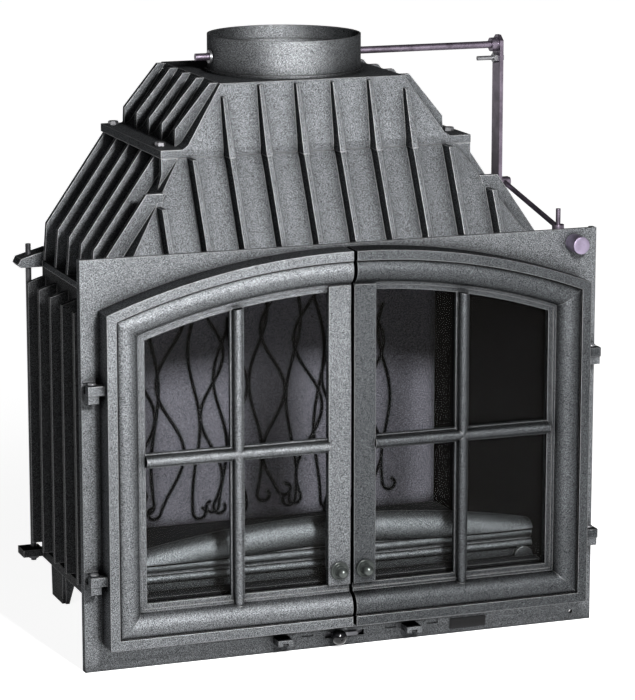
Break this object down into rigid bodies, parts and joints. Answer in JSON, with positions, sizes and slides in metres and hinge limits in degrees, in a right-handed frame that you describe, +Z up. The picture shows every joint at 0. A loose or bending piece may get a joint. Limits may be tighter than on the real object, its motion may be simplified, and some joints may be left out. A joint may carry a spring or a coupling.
{
  "type": "fireplace insert",
  "caption": "Cast-iron wood-burning fireplace insert with arched glazed doors, ribbed firebox, stepped flue hood, round collar and a rod-worked damper.",
  "frame": {"origin": "on the floor under the middle of the part's outer box", "axes": "+X to the right seen from the front, +Y to the back, +Z up"},
  "size_m": [0.7, 0.429, 0.773],
  "materials": {
    "plate_iron": "painted, fine sand-cast grain",
    "door_iron": "painted, fine sand-cast grain",
    "body_iron": "matt, sand-cast grain",
    "hood_iron": "matt, sand-cast grain",
    "collar_iron": "matt, turned rim",
    "hearth_iron": "matt, rough",
    "pan_steel": "folded sheet, dull",
    "fireback_iron": "matt, fine grain",
    "liner_black": "matt black",
    "retainer_iron": "satin painted",
    "knob_iron": "semi-gloss",
    "door_glass": "clear heat-resistant glass",
    "gasket_tape": "woven glass-fibre tape",
    "seal_rope": "braided glass-fibre rope",
    "clip_steel": "pressed steel",
    "bolt_steel": "zinc plated",
    "tie_steel": "dark, threaded",
    "spindle_steel": "turned",
    "linkage_steel": "dark, oiled",
    "pull_knob_steel": "turned",
    "damper_iron": "matt",
    "slide_steel": "dull",
    "ball_black": "glossy moulding",
    "plaque_black": "satin black, blank"
  },
  "bodies": {
    "stove": {"front_plate": "plate_iron", "air_panel": "plate_iron", "base_plate": "body_iron", "feet": "body_iron", "left_side_panel": "body_iron", "right_side_panel": "body_iron", "back_panel": "body_iron", "lower_hood": "hood_iron", "hood_back_plate": "hood_iron", "upper_hood": "hood_iron", "flue_collar": "collar_iron", "hearth_plate": "hearth_iron", "grate": "hearth_iron", "ash_pan": "pan_steel", "fireback": "fireback_iron", "left_liner": "liner_black", "right_liner": "liner_black", "baffle": "liner_black", "log_retainer": "retainer_iron", "hood_bolts": "bolt_steel", "collar_bolts": "bolt_steel", "tie_rods": "tie_steel", "tie_nuts": "tie_steel", "hinge_pins": "spindle_steel", "blank_plaque": "plaque_black"},
    "left_door": {"left_door_frame": "door_iron", "left_glass": "door_glass", "left_gasket": "gasket_tape", "left_seal": "seal_rope", "left_clips": "clip_steel", "left_clip_screws": "bolt_steel"},
    "left_latch": {"left_knob": "knob_iron", "left_spindle": "spindle_steel", "left_tongue": "spindle_steel"},
    "right_door": {"right_door_frame": "door_iron", "right_glass": "door_glass", "right_gasket": "gasket_tape", "right_seal": "seal_rope", "right_clips": "clip_steel", "right_clip_screws": "bolt_steel"},
    "right_latch": {"right_knob": "knob_iron", "right_spindle": "spindle_steel", "right_tongue": "spindle_steel"},
    "damper": {"damper_plate": "damper_iron", "damper_shaft": "linkage_steel", "damper_bolts": "bolt_steel", "shaft_washer": "bolt_steel", "crank_arm": "linkage_steel", "crank_bolt": "bolt_steel"},
    "link": {"link_rod": "linkage_steel"},
    "pull": {"pull_rod": "linkage_steel", "pull_knob": "pull_knob_steel"},
    "air_control": {"air_slide": "slide_steel", "air_knob": "ball_black"}
  },
  "joints": [
    {"name": "left_door_hinge", "type": "hinge", "parent": "stove", "child": "left_door", "pos_m": [-0.34, -0.1805, 0.118], "axis": [0, 0, -1], "range_deg": [0, 110]},
    {"name": "right_door_hinge", "type": "hinge", "parent": "stove", "child": "right_door", "pos_m": [0.34, -0.1805, 0.118], "axis": [0, 0, 1], "range_deg": [0, 110]},
    {"name": "left_latch_turn", "type": "hinge", "parent": "left_door", "child": "left_latch", "pos_m": [-0.0175, -0.1815, 0.109], "axis": [0, -1, 0], "range_deg": [0, 180]},
    {"name": "right_latch_turn", "type": "hinge", "parent": "right_door", "child": "right_latch", "pos_m": [0.0175, -0.1815, 0.109], "axis": [0, 1, 0], "range_deg": [0, 180]},
    {"name": "damper_turn", "type": "hinge", "parent": "stove", "child": "damper", "pos_m": [0, 0.0625, 0.746], "axis": [-1, 0, 0], "range_deg": [0, 10]},
    {"name": "link_swing", "type": "hinge", "parent": "damper", "child": "link", "pos_m": [0.317, 0.0625, 0.558], "axis": [-1, 0, 0], "range_deg": [-10, 0]},
    {"name": "damper_pull", "type": "slide", "parent": "stove", "child": "pull", "axis": [0, -1, 0], "range_m": [0, 0.0327]},
    {"name": "air_slide_move", "type": "slide", "parent": "stove", "child": "air_control", "axis": [1, 0, 0], "range_m": [-0.009, 0.009]}
  ],
  "couplings": [
    {"joint": "link_swing", "follows": "damper_turn", "ratio": -1},
    {"joint": "damper_pull", "follows": "damper_turn", "m_per_rad": 0.187}
  ]
}
